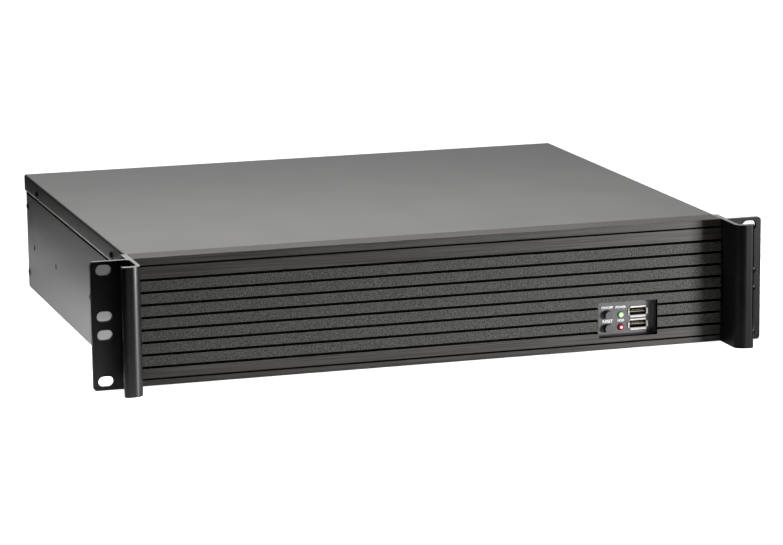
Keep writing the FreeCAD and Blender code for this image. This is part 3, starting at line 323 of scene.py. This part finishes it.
def metal(name, low, high, roughness, stretch=(1, 1, 1), dull=(0.25, 0.24, 0.22), metallic=1.0,
          painted_shade=None):
    """Bare or plated metal, grained and dull in patches."""
    coat = Coat(name, metallic=metallic)
    grain = coat.noise(0.4, stretch=stretch)
    cloud = coat.noise(8.0, seed=7.0)
    colour = coat.ramp(grain, low, high)
    colour = coat.mix(coat.ramp(cloud, 0.0, 0.35, 0.45, 0.8), colour, (*dull, 1))
    if painted_shade:
        colour = coat.paint_shade(painted_shade(coat), colour)
    rough = coat.ramp(coat.mix(0.5, grain, cloud), roughness - 0.08, roughness + 0.1)
    return coat.finish(colour, rough, coat.bump(grain, 0.01, 0.5, round_mm=0.12))


def spangled_zinc():
    """Galvanised sheet with crystals about 6 mm across."""
    coat = Coat("spangled_zinc", metallic=1.0)
    cells = coat.add("ShaderNodeTexVoronoi", {"Vector": coat.place, "Scale": 160.0,
                                              "Randomness": 1.0})
    grain = coat.noise(0.8)
    colour = coat.ramp(cells.outputs["Color"], (0.42, 0.43, 0.44), (0.62, 0.63, 0.64), 0.1, 0.9)
    colour = coat.mix(coat.edges(), colour, (0.75, 0.75, 0.75, 1))
    rough = coat.ramp(coat.mix(0.5, cells.outputs["Color"], grain), 0.30, 0.46)
    return coat.finish(colour, rough, coat.bump(grain, 0.01, 0.5))


def cove_shade(coat):
    """The moulded cove at the bezel's right end, deep in its own shade."""
    return coat.both(coat.slope("X", BEZEL_COVE), 0.8)


def socket_inside_shade(coat):
    """Painted shade inside a socket, behind its flared lips."""
    return coat.slope("Y", SOCKET_LIPS)


def tongue_shade(coat):
    """Painted shade on all of a socket's tongue but the pale front edge at half its height."""
    edge = coat.maths("ADD", *[coat.band("Z", span) for span in TONGUE_EDGES])
    return coat.maths("SUBTRACT", 0.97, coat.both(edge, 0.97))


def lamp(name, centre_z, core_mm, core, body, rim, glow=0.5):
    """Tinted resin, lit from the middle: a pale core, a deep body and a dark rim."""
    coat = Coat(name, coat=0.3)
    swirl = coat.noise(0.9)
    across = coat.maths("SUBTRACT", coat.along("X"), LAMP_MIDDLE * MM)
    up = coat.maths("SUBTRACT", coat.along("Z"), centre_z * MM)
    far = coat.maths("SQRT", coat.maths("ADD", coat.both(across, across), coat.both(up, up)))
    colour = coat.mix(coat.rise(far, core_mm * 0.4 * MM, core_mm * MM), (*core, 1), (*body, 1))
    colour = coat.mix(coat.rise(far, 1.5 * MM, 2.1 * MM), colour, (*rim, 1))
    colour = coat.mix(0.2, colour, coat.ramp(swirl, 0.5, 1.0), "MULTIPLY")
    coat.tree.links.new(colour, coat.shader.inputs["Emission Color"])
    coat.shader.inputs["Emission Strength"].default_value = glow
    rough = coat.ramp(swirl, 0.06, 0.16)
    return coat.finish(colour, rough, coat.bump(swirl, 0.01, 0.3, round_mm=0.1))


STEEL = powder_coat("powder_coat")
TRAY = powder_coat("tray_coat", painted_shade=tray_seam_shade)
COVER = powder_coat("cover_coat", painted_shade=cover_fold_shade, flange_highlight=True)
RIBS = rib_coat()
# The two frames differ to suit how light falls on them: the left's paler edges are a painted
# highlight, the right's dimmer edges and lower specular are painted shade.
LEFT_FRAME = frame_coat("left_frame_coat", 0.44, wear_and_glint=0.20)
RIGHT_FRAME = frame_coat("right_frame_coat", 0.10, wear_and_glint=0.07)
TUB = plastic("tub_plastic", (0.062, 0.059, 0.063), (0.084, 0.080, 0.084), 0.5, painted_shade=cove_shade)
CAPS = plastic("cap_plastic", (0.036, 0.035, 0.038), (0.052, 0.050, 0.054), 0.42, depth_mm=0.01)
BLACK = plastic("switch_plastic", (0.012, 0.012, 0.013), (0.02, 0.02, 0.02), 0.45)
BOARD = plastic("board_mask", (0.010, 0.075, 0.028), (0.016, 0.11, 0.04), 0.3, grain_mm=1.2)
TONGUE = plastic("tongue_plastic", (0.17, 0.17, 0.18), (0.25, 0.25, 0.26), 0.4, painted_shade=tongue_shade)
SHELL = metal("tinned_shell", (0.80, 0.78, 0.74), (0.97, 0.95, 0.91), 0.42, metallic=0.45,
              dull=(0.7, 0.68, 0.64), painted_shade=socket_inside_shade)
GILT = metal("gilt", (0.72, 0.52, 0.20), (0.88, 0.68, 0.32), 0.24, dull=(0.5, 0.36, 0.16))
BRASS = metal("brass_bar", (0.55, 0.38, 0.14), (0.75, 0.56, 0.26), 0.3, stretch=(1, 1, 8),
              dull=(0.32, 0.2, 0.08))
SCREW = metal("zinc_screw", (0.45, 0.45, 0.46), (0.68, 0.68, 0.68), 0.3)
DARK_SCREW = metal("blackened_screw", (0.013, 0.013, 0.014), (0.036, 0.036, 0.036), 0.46,
                   dull=(0.01, 0.01, 0.01))
ZINC = spangled_zinc()
GREEN = lamp("green_resin", 22.75, 2.0, (0.62, 0.90, 0.52), (0.22, 0.55, 0.18),
             (0.05, 0.16, 0.05))
RED = lamp("red_resin", 13.85, 1.3, (0.95, 0.55, 0.55), (0.26, 0.012, 0.035),
           (0.09, 0.006, 0.014))
INK = plastic("white_ink", (0.72, 0.72, 0.74), (0.86, 0.86, 0.88), 0.55, grain_mm=0.12)

LOOKS = {
    "chassis_tray": TRAY, "rear_panel": STEEL, "front_wall": STEEL, "top_cover": COVER,
    "front_panel": RIBS, "left_ear_handle": LEFT_FRAME, "right_ear_handle": RIGHT_FRAME,
    "control_bezel": TUB, "power_button": CAPS, "reset_button": CAPS,
    "power_plunger": BLACK, "reset_plunger": BLACK, "power_switch": BLACK, "reset_switch": BLACK,
    "control_board": BOARD, "power_led": GREEN, "drive_led": RED,
    "upper_usb_shell": SHELL, "lower_usb_shell": SHELL, "usb_tongues": TONGUE,
    "usb_contacts": GILT, "slot_cover_1": ZINC, "slot_cover_2": ZINC, "slot_cover_3": ZINC,
    "slot_cover_4": ZINC, "slot_cover_shelf": ZINC, "drive_cage": ZINC,
    "board_standoffs": BRASS, "cover_screws": DARK_SCREW, "panel_screws": SCREW,
    "frame_screws": SCREW, "bezel_screws": SCREW, "control_board_screws": SCREW,
    "drive_cage_screws": SCREW, "slot_cover_screws": SCREW, "wall_rivets": DARK_SCREW,
}
for name, look in LOOKS.items():
    node = nodes[name]
    for slot in node.material_slots:
        slot.material = look


# Screws and rivets
def separate_solids(node):
    """Corner points of each closed solid in a CAD node, in the same order each run."""
    whole = bmesh.new()
    whole.from_mesh(node.data)
    bmesh.ops.remove_doubles(whole, verts=whole.verts, dist=0.001 * MM)
    left = set(whole.verts)
    solids = []
    while left:
        edge = [left.pop()]
        solid = []
        while edge:
            corner = edge.pop()
            solid.append(corner.co.copy())
            near = [link.other_vert(corner) for link in corner.link_edges]
            near = [other for other in near if other in left]
            left.difference_update(near)
            edge.extend(near)
        solids.append(sorted(solid, key=tuple))
    whole.free()
    return sorted(solids, key=lambda solid: tuple(solid[0]))


def measure(solid):
    """Seat, outward axis, head radius, head height, shank radius and shank length."""
    low = Vector([min(p[i] for p in solid) for i in range(3)])
    high = Vector([max(p[i] for p in solid) for i in range(3)])
    wide = high - low
    axis = min(range(3), key=lambda i: abs(wide[i - 1] - wide[i - 2]))
    centre = (low + high) / 2

    def off_axis(point):
        gap = point - centre
        gap[axis] = 0
        return gap.length

    head_radius = max(off_axis(p) for p in solid)
    head = [p[axis] for p in solid if off_axis(p) > head_radius * 0.95]
    outward = 1 if sum(head) / len(head) > centre[axis] else -1
    top = high[axis] if outward > 0 else low[axis]
    seat_at = min(head) if outward > 0 else max(head)
    shank = [p for p in solid if (seat_at - p[axis]) * outward > 0.02 * MM]
    seat = centre.copy()
    seat[axis] = seat_at
    out = Vector((0, 0, 0))
    out[axis] = outward
    long = abs(seat_at - (low[axis] if outward > 0 else high[axis]))
    return seat, out, head_radius, abs(top - seat_at), max(off_axis(p) for p in shank), long


def turned(profile, segments=32):
    """Closed mesh turned about Z from points of (radius, height), bottom to top."""
    shape = bmesh.new()
    rings = []
    for radius, height in profile:
        turns = [2 * math.pi * k / segments for k in range(segments)]
        rings.append([shape.verts.new((radius * math.cos(t), radius * math.sin(t), height))
                      for t in turns])
    for lower, upper in zip(rings, rings[1:]):
        for k in range(segments):
            shape.faces.new((lower[k], lower[k - 1], upper[k - 1], upper[k]))
    shape.faces.new(rings[0])
    shape.faces.new(rings[-1][::-1])
    bmesh.ops.recalc_face_normals(shape, faces=shape.faces)
    mesh = bpy.data.meshes.new("turned")
    shape.to_mesh(mesh)
    shape.free()
    return mesh


def cross_cutter():
    """Two tapered wedges that cross, as the tip of a screwdriver."""
    shape = bmesh.new()
    for turn in (0, math.pi / 2):
        made = bmesh.ops.create_cube(shape, size=1)["verts"]
        for corner in made:
            deep = corner.co.z < 0
            corner.co.x *= 0.72 if deep else 1.15
            corner.co.y *= 0.16 if deep else 0.22
            corner.co.z = 0.42 if deep else 1.2
        bmesh.ops.rotate(shape, verts=made, matrix=Matrix.Rotation(turn, 3, "Z"))
    mesh = bpy.data.meshes.new("cross")
    shape.to_mesh(mesh)
    shape.free()
    return mesh


def pan_head():
    """Unit pan head with a cross recess: radius 1, height 1."""
    dome = turned([(0.97, 0.0), (1.0, 0.06), (1.0, 0.34), (0.97, 0.52), (0.9, 0.72),
                   (0.76, 0.88), (0.5, 0.97), (0.2, 1.0)])
    head = bpy.data.objects.new("head", dome)
    cutter = bpy.data.objects.new("cross", cross_cutter())
    for thing in (head, cutter):
        bpy.context.collection.objects.link(thing)
    cut = head.modifiers.new("recess", "BOOLEAN")
    cut.operation = "DIFFERENCE"
    cut.object = cutter
    cut.use_self = True
    graph = bpy.context.evaluated_depsgraph_get()
    mesh = bpy.data.meshes.new_from_object(head.evaluated_get(graph))
    for thing in (head, cutter):
        bpy.data.objects.remove(thing)
    return mesh


def dress(node_name, head, look, head_share=1.0):
    """Puts real heads and plain round shanks in place of a CAD node's screws or rivets."""
    shank = turned([(1.0, 0.0), (1.0, 1.0)], 16)
    whole = bmesh.new()
    for solid in separate_solids(nodes[node_name]):
        seat, out, radius, high, thin, long = measure(solid)
        turn = out.to_track_quat("Z", "Y").to_matrix().to_4x4()
        place = Matrix.Translation(seat) @ turn
        for mesh, scale, drop in ((head, (radius, radius, high * head_share), 0),
                                  (shank, (thin, thin, long), -long)):
            part = mesh.copy()
            part.transform(place @ Matrix.Translation((0, 0, drop)) @ Matrix.Diagonal((*scale, 1)))
            whole.from_mesh(part)
            bpy.data.meshes.remove(part)
    mesh = bpy.data.meshes.new(node_name + "_turned")
    whole.to_mesh(mesh)
    whole.free()
    mesh.polygons.foreach_set("use_smooth", [True] * len(mesh.polygons))
    mesh.set_sharp_from_angle(angle=math.radians(32))
    mesh.materials.append(look)
    piece = bpy.data.objects.new(node_name + "_turned", mesh)
    bpy.context.collection.objects.link(piece)
    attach(piece, body_of(nodes[node_name])[0])
    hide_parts(node_name)


PAN_HEAD = pan_head()
RIVET_HEAD = turned([(1.0, 0.0), (0.99, 0.25), (0.84, 0.66), (0.6, 0.92), (0.42, 1.0),
                     (0.34, 0.9), (0.30, 0.5), (0.05, 0.45)])
dress("cover_screws", PAN_HEAD, DARK_SCREW)
for name in ("panel_screws", "frame_screws", "bezel_screws", "control_board_screws",
             "drive_cage_screws", "slot_cover_screws"):
    dress(name, PAN_HEAD, SCREW)
dress("wall_rivets", RIVET_HEAD, DARK_SCREW, head_share=0.4)


# Printed words
def printed(name, words, left, right, middle_z, plane):
    """Words in thin ink on the bezel's floor, set between two places across the front."""
    curve = bpy.data.curves.new(name, "FONT")
    curve.body = words
    curve.size = 0.01
    curve.extrude = 0.00002
    curve.offset = 0.00022
    curve.align_x = "CENTER"
    curve.align_y = "CENTER"
    piece = bpy.data.objects.new(name, curve)
    bpy.context.collection.objects.link(piece)
    bpy.context.view_layer.update()
    mesh = bpy.data.meshes.new_from_object(piece)
    bpy.data.objects.remove(piece)
    low = [min(v.co[i] for v in mesh.vertices) for i in range(3)]
    high = [max(v.co[i] for v in mesh.vertices) for i in range(3)]
    wide = (right - left) / (high[0] - low[0])
    centre = Vector([(a + b) / 2 for a, b in zip(low, high)])
    turn = Matrix.Rotation(math.pi / 2, 4, "X")
    place = Matrix.Translation(((left + right) / 2, plane, middle_z))
    mesh.transform(place @ turn @ Matrix.Diagonal((wide, wide, 1, 1)) @ Matrix.Translation(-centre))
    mesh.materials.append(INK)
    piece = bpy.data.objects.new(name, mesh)
    bpy.context.collection.objects.link(piece)
    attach(piece, "chassis")


plane = (BEZEL_FLOOR - INK_HEIGHT) * MM
for name, words, left, right, middle in (
    ("word_on_off", "ON/OFF", 125.2, 133.9, 28.3),
    ("word_power", "POWER", 135.9, 143.5, 28.1),
    ("word_reset", "RESET", 126.2, 133.8, 18.5),
    ("word_drive", "HDD", 137.4, 142.2, 18.6),
):
    printed(name, words, left * MM, right * MM, middle * MM, plane)


# Studio
FLOOR_REACH = 60.0
FLOOR_DROP = 0.0002
TABLE_SIDE = (0.294, 0.264)
TABLE_FRONT = (-0.42, -0.08)
TABLE_BACK = (0.62, 0.42)
TABLE_WHITE = 0.85
FLOOR_GLOW = (0.45, 1.0)
SCREEN_LIGHT = 0.47
SCREEN_MIRRORED = 0.45
ROOM_LIGHT = 0.045
CAMERA_SPOT = (-0.69537728, -2.3204453, 0.51558764)
CAMERA_TURNS = (17.13477399, 11.27410261, 0.60836253)
CAMERA_LENS = 154.53299


def make_floor():
    """White sweep. What the case mirrors of it is a white table that ends near the case."""
    mesh = bpy.data.meshes.new("floor")
    corners = [(x * FLOOR_REACH, y * FLOOR_REACH, 0)
               for x, y in ((-1, -1), (1, -1), (1, 1), (-1, 1))]
    mesh.from_pydata(corners, [], [(0, 1, 2, 3)])
    floor = bpy.data.objects.new("floor", mesh)
    floor.location.z = -FLOOR_DROP
    bpy.context.collection.objects.link(floor)
    coat = Coat("floor_white", specular=0.0)
    coat.shader.inputs["Roughness"].default_value = 0.9

    def fade(source, span, low, high=1.0):
        return coat.add("ShaderNodeMapRange", {"Value": source, "From Min": span[0],
                                               "From Max": span[1], "To Min": low,
                                               "To Max": high}).outputs[0]

    aside = fade(coat.maths("ABSOLUTE", coat.along("X")), TABLE_SIDE, 0.02)
    ahead = fade(coat.along("Y"), TABLE_FRONT, 0.02, 0.9)
    behind = fade(coat.along("Y"), TABLE_BACK, 0.05)
    table = coat.both(coat.both(coat.both(aside, ahead), TABLE_WHITE), behind)
    path = coat.add("ShaderNodeLightPath")
    tone = coat.mix(path.outputs["Is Camera Ray"], table, 1.0)
    coat.tree.links.new(tone, coat.shader.inputs["Base Color"])
    far = coat.add("ShaderNodeVectorMath", {0: coat.place}, operation="LENGTH")
    glow = coat.both(fade(far.outputs["Value"], FLOOR_GLOW, 0.62), path.outputs["Is Camera Ray"])
    coat.tree.links.new(glow, coat.shader.inputs["Emission Strength"])
    coat.shader.inputs["Emission Color"].default_value = (1, 1, 1, 1)
    floor.data.materials.append(coat.material)


def make_world():
    """White to the camera. For light, a dim room with one soft screen low behind the case."""
    world = bpy.data.worlds.new("studio")
    bpy.context.scene.world = world
    world.use_nodes = True
    tree = world.node_tree
    light = tree.nodes["Background"]
    coords = tree.nodes.new("ShaderNodeTexCoord")
    split = tree.nodes.new("ShaderNodeSeparateXYZ")
    tree.links.new(coords.outputs["Generated"], split.inputs[0])

    def both(first, second):
        return calculate(tree, "MULTIPLY", first, second)

    def rise(axis, low_at, high_at):
        node = tree.nodes.new("ShaderNodeMapRange")
        node.interpolation_type = "SMOOTHSTEP"
        feed(tree, node.inputs["Value"], split.outputs[axis])
        feed(tree, node.inputs["From Min"], low_at)
        feed(tree, node.inputs["From Max"], high_at)
        return node.outputs["Result"]

    screen = both(rise("X", -0.10, 0.20), rise("X", 0.62, 0.20))
    screen = both(screen, rise("Z", 0.50, 0.22))
    screen = both(screen, rise("Y", 0.1, 0.7))
    strength = calculate(tree, "ADD", both(screen, SCREEN_LIGHT), ROOM_LIGHT)
    feed(tree, light.inputs["Strength"], strength)
    white = tree.nodes.new("ShaderNodeBackground")
    path = tree.nodes.new("ShaderNodeLightPath")
    seen = path.outputs["Is Camera Ray"]
    for ray in ("Is Glossy Ray", "Is Transmission Ray"):
        share = both(both(path.outputs[ray], screen), SCREEN_MIRRORED)
        seen = calculate(tree, "MAXIMUM", seen, share)
    mix = tree.nodes.new("ShaderNodeMixShader")
    for socket, source in zip(mix.inputs, (seen, light.outputs[0], white.outputs[0])):
        feed(tree, socket, source)
    tree.links.new(mix.outputs[0], tree.nodes["World Output"].inputs["Surface"])
    light.inputs["Color"].default_value = (1, 1, 1, 1)
    white.inputs["Color"].default_value = (1, 1, 1, 1)
    white.inputs["Strength"].default_value = 1.0


def add_light(name, spot, target, across, power, mirrored=True):
    """A soft box that the camera doesn't see, and that the case mirrors or doesn't."""
    lamp_data = bpy.data.lights.new(name, "AREA")
    lamp_data.shape = "RECTANGLE"
    lamp_data.size, lamp_data.size_y = across
    lamp_data.energy = power
    thing = bpy.data.objects.new(name, lamp_data)
    thing.location = spot
    thing.rotation_euler = (Vector(target) - Vector(spot)).to_track_quat("-Z", "Y").to_euler()
    thing.visible_camera = False
    thing.visible_glossy = mirrored
    bpy.context.collection.objects.link(thing)


def add_camera():
    """The photo's own camera, as solved on the rack slots and the case's height."""
    yaw, pitch, roll = (math.radians(turn) for turn in CAMERA_TURNS)
    ahead = Vector((math.sin(yaw) * math.cos(pitch), math.cos(yaw) * math.cos(pitch),
                    -math.sin(pitch)))
    right = Vector((math.cos(yaw), -math.sin(yaw), 0))
    down = ahead.cross(right)
    across = math.cos(roll) * right + math.sin(roll) * down
    drop = -math.sin(roll) * right + math.cos(roll) * down
    data = bpy.data.cameras.new("camera")
    data.sensor_width = 36
    data.lens = CAMERA_LENS
    data.clip_end = 100
    camera = bpy.data.objects.new("camera", data)
    turn = Matrix((across, -drop, -ahead)).transposed().to_4x4()
    camera.matrix_world = Matrix.Translation(CAMERA_SPOT) @ turn
    bpy.context.collection.objects.link(camera)
    bpy.context.scene.camera = camera


make_floor()
make_world()
# The key stays below the plane of the lid, so that no view from behind mirrors it there.
add_light("key", (0.70, -0.84, 0.045), (-0.02, -0.17, 0.045), (0.24, 0.08), 11.5)
add_light("top", (-0.14, -0.13, 0.40), (-0.14, -0.13, 0.0), (0.9, 0.14), 8.0, mirrored=False)
add_light("fill", (-0.9, 0.45, 1.5), (-0.1, 0.1, 0.04), (1.0, 1.0), 10)
add_camera()
bpy.context.scene.view_settings.view_transform = "Standard"


def plain(box):
    return [[float(v) for v in corner] for corner in box]
